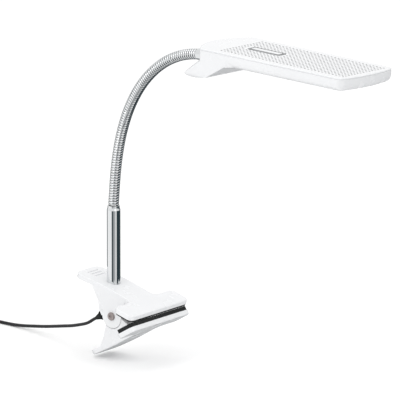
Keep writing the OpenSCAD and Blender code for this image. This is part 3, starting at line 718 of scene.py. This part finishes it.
bm = bmesh.new()
lathe(bm, [
    (0.001, -18.55), (1.1, -18.6), (1.45, -18.8), (1.5, -19.4), (1.7, -19.6), (3.5, -19.6), (3.95, -19.45),
    (4.2, -19), (4.2, -18), (2, -18), (2, 19), (1.6, 19.6), (0.001, 19.6),
], PIN_FRAME, 48)
place(finish_mesh(bm, "hinge_pin", PIN_METAL), "base", "pin_metal", "pivot_pin")
bm = bmesh.new()
clip = [(2.02, 18), (3.9, 18), (4, 18.1), (4, 18.65), (3.85, 18.8), (2.02, 18.8), (2.02, 18)]
lathe(bm, clip, PIN_FRAME, 40)
place(finish_mesh(bm, "pin_clip", STEEL), "base", "steel", "pivot_clip")

SPRING_R, SPRING_WIRE, SPRING_HALF, SPRING_TURNS = 5.0, 1.7, 9.2, 7
LEG_LEN, LEG_LEAN = 39.0, 117.3
spring_at = Matrix.Translation(PIVOT) @ Matrix.Rotation(-CLAMP_TILT, 4, "Y")
coil_turn = SPRING_TURNS * 360 + 180 - 2 * LEG_LEAN
coil_steps = 24 * SPRING_TURNS
coil = []
for i in range(coil_steps + 1):
    a = math.radians(LEG_LEAN + 90 + coil_turn * i / coil_steps)
    y = -SPRING_HALF + 2 * SPRING_HALF * i / coil_steps
    coil.append(Vector((SPRING_R * math.cos(a), y, SPRING_R * math.sin(a))))


def leg(start, up):
    """Straight end of the spring, upwards or downwards along a lever."""
    way = Vector((math.cos(math.radians(LEG_LEAN)), 0, up * math.sin(math.radians(LEG_LEAN))))
    return [start + way * LEG_LEN * i / 10 for i in range(1, 11)]


line = leg(coil[0], 1)[::-1] + coil + leg(coil[-1], -1)
bm = bmesh.new()
stack(bm, tube_rows(line, SPRING_WIRE / 2, 12, Vector((0, 1, 0))), spring_at)
spring = finish_mesh(bm, "torsion_spring_coil", STEEL, 60)
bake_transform(spring)
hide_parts("torsion_spring")

# ---------------------------------------------------------------- stem

STEM_R, NECK_R = 6.9, 5.5
seat = PIVOT.z + 24
bm = bmesh.new()
top = STEM_TOP
lathe(bm, [
    (4.85, seat), (STEM_R - 0.3, seat), (STEM_R, seat + 0.3), (STEM_R, top - 5.4), (STEM_R - 0.05, top - 5.0),
    (STEM_R - 0.35, top - 4.3), (STEM_R - 0.75, top - 2.6), (6.0, top - 0.9), (5.9, top - 0.6),
    (5.6, top - 0.45), (5.2, top - 0.45), (5.2, top - 12), (4.85, top - 13), (4.85, seat),
], Matrix.Translation((STEM_X, 0, 0)), 96)
place(finish_mesh(bm, "stem", CHROME, 40), "base", "chrome", "stem_tube")

# ---------------------------------------------------------------- gooseneck

RING_PITCH = 2.75
RING_DEPTH = 0.95
# share of the groove's depth from which faces take the painted groove shade
GROOVE_SHADE_FROM = 0.42
NECK_SIDES = 28
RING_STEPS = 8


def ring_radius(phase):
    """Section of the spiral: round wire with narrow grooves between its turns."""
    p = phase % 1.0
    x = 2 * p - 1
    return NECK_R - RING_DEPTH * (1 - math.sqrt(max(0.0, 1 - abs(x) ** 2.2)))


def neck_skin(name, s0, s1):
    """Spiral skin of the gooseneck between two places, counted in sleeves; faces deep in its grooves take a dark
    chrome, painted shade.
    """
    sleeve = NECK_LEN / SLEEVES
    count = int(round((s1 - s0) * sleeve / RING_PITCH * RING_STEPS))
    loops, centres = [], []
    for i in range(count + 1):
        s = s0 + (s1 - s0) * i / count
        centre, along = neck_at(s)
        centres.append(centre)
        side = Vector((0, 1, 0))
        normal = along.cross(side)
        loop = []
        for k in range(NECK_SIDES):
            a = TAU * k / NECK_SIDES
            r = ring_radius(s * sleeve / RING_PITCH - a / TAU)
            loop.append(centre + r * (side * math.cos(a) + normal * math.sin(a)))
        loops.append(loop)
    bm = bmesh.new()
    rows = stack(bm, loops)
    depth = {vert: NECK_R - (vert.co - centre).length for row, centre in zip(rows, centres) for vert in row}
    for face in bm.faces:
        # faces deep in a groove get the dark chrome, painted shade
        if len(face.verts) == 4 and sum(depth[vert] for vert in face.verts) / 4 > GROOVE_SHADE_FROM * RING_DEPTH:
            face.material_index = 1
    skin = finish_mesh(bm, name, CHROME, 70)
    skin.data.materials.append(GROOVE_SHADE_CHROME)
    return skin


for k in range(1, SLEEVES):
    s0 = 0.02 if k == 1 else k - 0.5
    s1 = SLEEVES - 0.01 if k == SLEEVES - 1 else k + 0.5
    skin = neck_skin("gooseneck_%d" % k, s0, s1)
    a = "base" if k == 1 else "neck_%d" % (k - 1)
    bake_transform(skin)
    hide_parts(*(["neck_sleeve_1"] if k == 1 else []), "neck_sleeve_%d" % (k + 1))

bm = bmesh.new()
lathe(bm, [
    (3.2, -0.5), (5.3, -0.5), (5.6, -0.2), (5.7, 0.3), (5.7, 18.6), (5.3, 19), (4, 19), (4, 28),
    (3.2, 28), (3.2, -0.5),
], TIP_FRAME, 80)
place(finish_mesh(bm, "neck_ferrule_sleeve", CHROME, 40), "head", "chrome", "neck_ferrule")

# ---------------------------------------------------------------- head shell

HEAD_L, HEAD_HALF, HEAD_H, FIN_DEPTH = 168, 41, 12.5, 30.2
REAR_R, REAR_C = 60.53, 25.53
FRONT_R = 170.6
FRONT_C = HEAD_L - FRONT_R
CORNER_R, REAR_CORNER_R = 8, 4
WALL = 2.2
EDGE_R = 8
COVER_Z, COVER_TOP = 0.1, 1.8
COVER_EDGE_R = 0.7
SEAM_IN, SEAM_H = 0.5, 0.7
WINDOW_X, WINDOW_L, WINDOW_W = 103, 90, 50
SCREW_X, SCREW_Y = (16, 154.5), 29


def corner_arc(centre_x, big_r, small_r, half, side, front, n=8):
    """Small arc that joins a long side to the big front or rear arc."""
    y = half - small_r
    dx = math.sqrt((big_r - small_r) ** 2 - y * y)
    cx = centre_x + (dx if front else -dx)
    lean_out = math.degrees(math.asin(y / (big_r - small_r)))
    if front:
        start = 270 if side < 0 else lean_out
    else:
        start = 90 if side > 0 else 180 + lean_out
    return arc(cx, side * y, small_r, start, start + 90 - lean_out, n)


def sweep(centre_x, r, small_r, half, front, n):
    """Big arc between its two corners."""
    a = math.degrees(math.asin((half - small_r) / (r - small_r)))
    return arc(centre_x, 0, r, -a, a, n) if front else arc(centre_x, 0, r, 180 - a, 180 + a, n)


def head_outline():
    """Plan of the whole head, rounded rear and gently bowed front."""
    rear = (REAR_C, REAR_R, REAR_CORNER_R, HEAD_HALF)
    front = (FRONT_C, FRONT_R, CORNER_R, HEAD_HALF)
    return tidy(
        corner_arc(*rear, 1, False) + sweep(*rear, False, 30) + corner_arc(*rear, -1, False)
        + corner_arc(*front, -1, True) + sweep(*front, True, 24) + corner_arc(*front, 1, True)
    )


def plate_outline(rear):
    """Head's outline cut straight across behind a place."""
    kept = [p for p in head_outline() if p[0] > rear + 1]
    first = next(i for i, p in enumerate(kept) if p[1] < 0)
    kept = kept[first:] + kept[:first]
    return tidy([(rear, -HEAD_HALF), *kept, (rear, HEAD_HALF)])


def plate_block(name, rear, d, z_top):
    """Flat front part of the head, drawn in by d, with rounded lower edges."""
    profile = [(d + off, z) for off, z in quarter_round(EDGE_R - d, -HEAD_H + d, 1, 10)]
    profile += [(d, z_top)] if d else [(0, z_top - SEAM_H), (SEAM_IN, z_top)]
    outline = plate_outline(rear)
    loops = [[(x if x > rear + 0.5 else rear, y, z) for x, y in inset(outline, off)] for off, z in profile]
    return single(name, lambda bm: stack(bm, loops, HEAD_FRAME))


def between(table, z):
    """Value at a height, from (height, value) pairs in falling order."""
    for (z0, a), (z1, b) in zip(table, table[1:]):
        if z >= z1:
            return a + (b - a) * (z0 - z) / (z0 - z1)
    return table[-1][1]


# (height, radius) of the fin's rear arc and (height, x) of its front
FIN_REAR = [
    (3, REAR_R), (-11.4, REAR_R), (-12.6, 61.1), (-26.0, 75.8), (-27.2, 76.3), (-28.4, 75.6), (-29.6, 72.5),
    (-FIN_DEPTH, 67.4),
]
FIN_FRONT = [
    (3, 18), (-12.5, 18), (-12.51, 12.5), (-26.6, -10.1), (-27.5, -12.2), (-28.4, -17), (-FIN_DEPTH, -28),
]
FIN_LEVELS = [
    -SEAM_H, -4, -8, -11, -12.0, -12.49, -12.52, -13.5, -16, -19, -22, -24, -25.5, -26.6, -27.4, -28.1, -28.8,
    -29.4, -29.9, -FIN_DEPTH,
]
NOSE_STEPS = (0, 0.2, 0.4, 0.6, 0.8, 1)


def rounding(depth):
    """How far the head's rounded lower edge has drawn in at a depth below its start."""
    return EDGE_R - math.sqrt(EDGE_R ** 2 - min(depth, EDGE_R) ** 2)


def fin_block(name, d, z_top):
    """Rear part of the head with its hanging fin, drawn in by d."""
    low = -FIN_DEPTH + d
    loops = []
    for z in [z_top, *(z for z in FIN_LEVELS if z > low + 0.05), low]:
        zz = max(z, -FIN_DEPTH + 0.001)
        sample = min(3, max(-FIN_DEPTH, zz - (d if zz < -26 else 0)))
        edge = SEAM_IN if z == z_top and d == 0 else 0
        big = between(FIN_REAR, sample) - d * (1.0 if z > -12 else 1.3) - edge
        front = between(FIN_FRONT, sample) - (d * 1.1 if z < -HEAD_H else 0)
        half = HEAD_HALF - d - edge - 0.85 * rounding(max(0.0, -zz - (FIN_DEPTH - EDGE_R) + d))
        corner = 3.0
        y = half - corner
        dx = math.sqrt(max(1.0, (big - corner) ** 2 - y * y))
        a = math.degrees(math.asin(min(0.99, y / (big - corner))))
        loop = arc(REAR_C - dx, y, corner, 90, 180 - a, 6) + arc(REAR_C, 0, big, 180 - a, 180 + a, 30)[1:-1]
        loop += arc(REAR_C - dx, -y, corner, 180 + a, 270, 6)
        run, inward = 1.2, 1.2
        if z > -HEAD_H and d:
            front = 9
        elif z > -HEAD_H:
            run, inward = 11.0, 0.02 + rounding(max(0.0, -z - (HEAD_H - EDGE_R)))
            front += 5
        # a long ease into the plate's edge above, a small round lip on the fin below
        drawn_in = [3 * t * t - 2 * t ** 3 if run > 2 else 1 - math.sqrt(1 - t * t) for t in NOSE_STEPS]
        nose = [(front - run * (1 - t), half - inward * e) for t, e in zip(NOSE_STEPS, drawn_in)]
        loop += [(x, -y) for x, y in nose] + nose[::-1]
        loops.append([(x, yy, z) for x, yy in loop])
    return single(name, lambda bm: stack(bm, loops, HEAD_FRAME))


FIN_SLOPE = math.degrees(math.atan2(15, 24))
FACE_FRAME = HEAD_FRAME @ Matrix.Translation((12.5, 0, -HEAD_H)) @ turn("Y", 180 - FIN_SLOPE)


def face_plan(shrink):
    """Panel on the fin's slanted front face, x down the slope."""
    length, wide = 24.6 - 2 * shrink, 2 * HEAD_HALF - 6 - 2 * shrink
    x0 = 2 + shrink
    return [(x + x0 + length / 2, y) for x, y in rounded(length, wide, 5, 8)]


shell = plate_block("head_housing", 5, 0, 0)
carve(shell, fin_block("fin", 0, 0), how="UNION")
hollow = plate_block("hollow", 8, WALL, 4)
hollow_fin = fin_block("hollow_fin", WALL, 4)
carve(shell, hollow, hollow_fin)
window_plan = [(x + WINDOW_X, y) for x, y in rounded(WINDOW_L, WINDOW_W, 4)]
cuts = [
    cylinder("ferrule_hole", 5.72, -8, 19, TIP_FRAME),
    single("window", lambda bm: slab(bm, window_plan, -14, -9, 0.1, 0.1, HEAD_FRAME, 1)),
    single("face", lambda bm: slab(bm, face_plan(0), -1, 3, 0.05, 0.05, FACE_FRAME, 1)),
]
for x in SCREW_X:
    for s in (-1, 1):
        at = HEAD_FRAME @ Matrix.Translation((x, s * SCREW_Y, 0))
        cuts.append(cylinder("screw_hole", 2.0, -15, -HEAD_H + 1.2, at, 32))
carve(shell, *cuts)
place(resharpen(shell, 28), "head", "white_gloss", "head_shell")

bm = bmesh.new()
slab(bm, face_plan(0.35), -1, -0.45, 0.1, 0.35, FACE_FRAME, 3)
place(finish_mesh(bm, "fin_liner_panel", GREY), "head", "grey_plastic", "fin_liner")

# ---------------------------------------------------------------- perforated cover

HOLE_PITCH, HOLE_D, HOLES_FROM = 4.5, 2.1, 1
HOLE_COLUMNS, HOLE_ROWS = 36, 15
BUTTON_X, BUTTON_L, BUTTON_W, BEZEL_W = 12.5, 42, 13, 3.2
HOLE_SIDES = 12


def hole_centres():
    """Places of the perforations, without those near the switch."""
    for i in range(HOLE_COLUMNS):
        for j in range(HOLE_ROWS):
            x, y = HOLES_FROM + i * HOLE_PITCH, (j - (HOLE_ROWS - 1) / 2) * HOLE_PITCH
            if not (BUTTON_X - 3 < x < BUTTON_X + BUTTON_L + 3 and abs(y) < BUTTON_W / 2 + 2):
                yield x, y


def button_outline(shrink, r=2.5):
    """Plan of the switch opening, drawn in by shrink."""
    mid = BUTTON_X + BUTTON_L / 2
    return [(x + mid, y) for x, y in rounded(BUTTON_L - 2 * shrink, BUTTON_W - 2 * shrink, r - shrink / 2, 6)]


def cover_mesh():
    """Plate with real holes: flat faces from a triangulation, then walls round every outline, which take the
    second material, a dark grey of painted shade.
    """
    outline = head_outline()
    top_rim = inset(outline, COVER_EDGE_R)
    angles = [-TAU * k / HOLE_SIDES for k in range(HOLE_SIDES)]
    hole = [(HOLE_D / 2 * math.cos(a), HOLE_D / 2 * math.sin(a)) for a in angles]
    inner = [[(x + a, y + b) for a, b in hole] for x, y in hole_centres()]
    inner.append(button_outline(0)[::-1])
    loops = [top_rim, *inner]
    points, edges = [], []
    for loop in loops:
        base = len(points)
        points += [Vector(p) for p in loop]
        edges += [(base + i, base + (i + 1) % len(loop)) for i in range(len(loop))]
    flat, _, triangles, *_ = delaunay_2d_cdt(points, edges, [], 1, 1e-5)
    centres = set(hole_centres())
    button = button_outline(0)

    def in_button(p):
        inside = False
        for (ax, ay), (bx, by) in zip(button, button[1:] + button[:1]):
            if (ay > p.y) != (by > p.y) and p.x < (bx - ax) * (p.y - ay) / (by - ay) + ax:
                inside = not inside
        return inside

    def in_a_hole(p):
        i = round((p.x - HOLES_FROM) / HOLE_PITCH)
        j = round(p.y / HOLE_PITCH + (HOLE_ROWS - 1) / 2)
        x, y = HOLES_FROM + i * HOLE_PITCH, (j - (HOLE_ROWS - 1) / 2) * HOLE_PITCH
        near = (x, y) in centres and math.hypot(p.x - x, p.y - y) < HOLE_D / 2 - 0.02
        return near or in_button(p)

    bm = bmesh.new()
    kept = [t for t in triangles if not in_a_hole(sum((flat[i] for i in t), Vector((0, 0))) / 3)]
    top = [bm.verts.new(HEAD_FRAME @ Vector((p.x, p.y, COVER_TOP))) for p in flat]
    low = [bm.verts.new(HEAD_FRAME @ Vector((p.x, p.y, COVER_Z))) for p in flat]
    for t in kept:
        bm.faces.new([top[i] for i in t])
        bm.faces.new([low[i] for i in reversed(t)])
    start = len(top_rim)
    # walls of the holes and of the switch opening take the dark grey, painted shade
    for loop in inner:
        for i in range(len(loop)):
            a, b = start + i, start + (i + 1) % len(loop)
            bm.faces.new((top[a], top[b], low[b], low[a])).material_index = 1
        start += len(loop)
    rim = [(0.45, COVER_Z), (0, COVER_Z + 0.5), *quarter_round(COVER_EDGE_R, COVER_TOP, -1, 4)[:0:-1]]
    rows = [low[:len(top_rim)]]
    rows += [[bm.verts.new(HEAD_FRAME @ Vector((x, y, z))) for x, y in inset(outline, d)] for d, z in rim]
    rows.append(top[:len(top_rim)])
    for a, b in zip(rows, rows[1:]):
        for i in range(len(a)):
            j = (i + 1) % len(a)
            bm.faces.new((a[i], a[j], b[j], b[i]))
    return bm


cover = finish_mesh(cover_mesh(), "head_cover", WHITE, 35)
# second material: the dark grey painted as shade on the hole walls
cover.data.materials.append(BEZEL_AND_HOLE_SHADE)
place(cover, "head", "white_gloss", "top_cover")

# ---------------------------------------------------------------- switch

def ring_slab(bm, outer, hole, z0, z1, at):
    """Frame between two outlines of the same count, with softened top edges."""
    rims = [
        (outer, z0), (outer, z1 - 0.3), (inset(outer, 0.3), z1),
        (inset(hole, -0.15), z1), (hole, z1 - 0.15), (hole, z0),
    ]
    stack(bm, [[(x, y, z) for x, y in outline] for outline, z in rims], at, closed=True)


bm = bmesh.new()
ring_slab(bm, button_outline(0.05), button_outline(BEZEL_W), -0.2, 2.2, HEAD_FRAME)
place(finish_mesh(bm, "switch_bezel", BEZEL_AND_HOLE_SHADE), "head", "bezel_grey", "switch_frame")

bm = bmesh.new()
slab(bm, button_outline(BEZEL_W + 0.25), -1.2, 2.5, 0.2, 0.5, HEAD_FRAME, 5)
place(finish_mesh(bm, "switch_cap", WHITE), "switch", "white_gloss", "switch_button")

# ---------------------------------------------------------------- stage and light

FLOOR_HALF = 3000

bm = bmesh.new()
for x, y in box_plan(-FLOOR_HALF, FLOOR_HALF, FLOOR_HALF):
    bm.verts.new((x, y, FLOOR_Z))
bm.faces.new(bm.verts)
floor = finish_mesh(bm, "floor", plastic("pale_floor", (0.955, 0.955, 0.955), (0.965, 0.965, 0.965), 0.8))

# one-sided, so that a view from below shows the underside
floor_tree = floor.data.materials[0].node_tree
below = floor_tree.nodes.new("ShaderNodeNewGeometry")
clear = floor_tree.nodes.new("ShaderNodeBsdfTransparent")
one_sided = floor_tree.nodes.new("ShaderNodeMixShader")
floor_tree.links.new(below.outputs["Backfacing"], one_sided.inputs[0])
floor_tree.links.new(floor_tree.nodes["Principled BSDF"].outputs["BSDF"], one_sided.inputs[1])
floor_tree.links.new(clear.outputs["BSDF"], one_sided.inputs[2])
floor_tree.links.new(one_sided.outputs["Shader"], floor_tree.nodes["Material Output"].inputs["Surface"])
floor.visible_glossy = False

world = bpy.data.worlds.new("studio")
bpy.context.scene.world = world
world.use_nodes = True
tree = world.node_tree
tree.nodes.clear()


def world_math(operation, *values):
    """Math node fed by sockets or numbers."""
    made = tree.nodes.new("ShaderNodeMath")
    made.operation = operation
    for i, value in enumerate(values):
        if isinstance(value, (int, float)):
            made.inputs[i].default_value = value
        else:
            tree.links.new(value, made.inputs[i])
    return made.outputs[0]


def world_ramp(fac, stops):
    """Colour ramp of (position, shade) stops, a shade being one number, cool in the darks."""
    made = tree.nodes.new("ShaderNodeValToRGB")
    elements = made.color_ramp.elements
    while len(elements) > 1:
        elements.remove(elements[0])
    for i, (position, shade) in enumerate(stops):
        stop = elements[0] if i == 0 else elements.new(position)
        stop.position = position
        cool = 0.02 * (1 - min(shade, 1))
        stop.color = (max(shade - cool / 2, 0), shade + cool / 2, shade + cool, 1)
    tree.links.new(fac, made.inputs["Fac"])
    return made.outputs["Color"]


# The floor isn't seen in reflections, so chrome mirrors the room under the horizon:
# soft boxes and dark gaps between them. The camera itself sees plain white.
output = tree.nodes.new("ShaderNodeOutputWorld")
background = tree.nodes.new("ShaderNodeBackground")
coords = tree.nodes.new("ShaderNodeTexCoord")
split = tree.nodes.new("ShaderNodeSeparateXYZ")
tree.links.new(coords.outputs["Generated"], split.inputs["Vector"])
bearing = world_math("ARCTAN2", split.outputs["Y"], split.outputs["X"])
round_room = world_math("MULTIPLY_ADD", bearing, 1 / TAU, 0.5)
room = world_ramp(round_room, [
    (0.0, 0.30), (0.023, 0.30), (0.04, 1.1), (0.262, 1.1), (0.276, 0.08), (0.337, 0.10), (0.351, 0.42),
    (0.423, 0.5), (0.456, 0.95), (0.501, 0.95), (0.512, 0.04), (0.740, 0.05), (0.756, 0.30), (1.0, 0.30),
])
sky = world_ramp(split.outputs["Z"], [(0.0, 1.0), (1.0, 1.0)])
mix = tree.nodes.new("ShaderNodeMix")
mix.data_type = "RGBA"
height = tree.nodes.new("ShaderNodeMapRange")
height.inputs["From Min"].default_value = -0.05
height.inputs["From Max"].default_value = 0.12
tree.links.new(split.outputs["Z"], height.inputs["Value"])
seen = tree.nodes.new("ShaderNodeLightPath")
above = world_math("MAXIMUM", height.outputs["Result"], seen.outputs["Is Camera Ray"])
tree.links.new(above, mix.inputs["Factor"])
tree.links.new(room, mix.inputs["A"])
tree.links.new(sky, mix.inputs["B"])
tree.links.new(mix.outputs["Result"], background.inputs["Color"])
tree.links.new(background.outputs["Background"], output.inputs["Surface"])
background.inputs["Strength"].default_value = 0.98


def area_light(name, at, width, power):
    """Square soft box that points at the middle of the lamp."""
    data = bpy.data.lights.new(name, "AREA")
    data.size = width
    data.energy = power
    lamp = bpy.data.objects.new(name, data)
    bpy.context.scene.collection.objects.link(lamp)
    lamp.location = at
    lamp.rotation_euler = (Vector((0.05, 0, 0.13)) - Vector(at)).to_track_quat("-Z", "Y").to_euler()


area_light("key", (-0.4, -1.6, 1.8), 1.2, 9)
area_light("fill", (1.8, -0.6, 0.9), 1.2, 2)
area_light("top", (0.1, 0.3, 2.2), 1.6, 6)
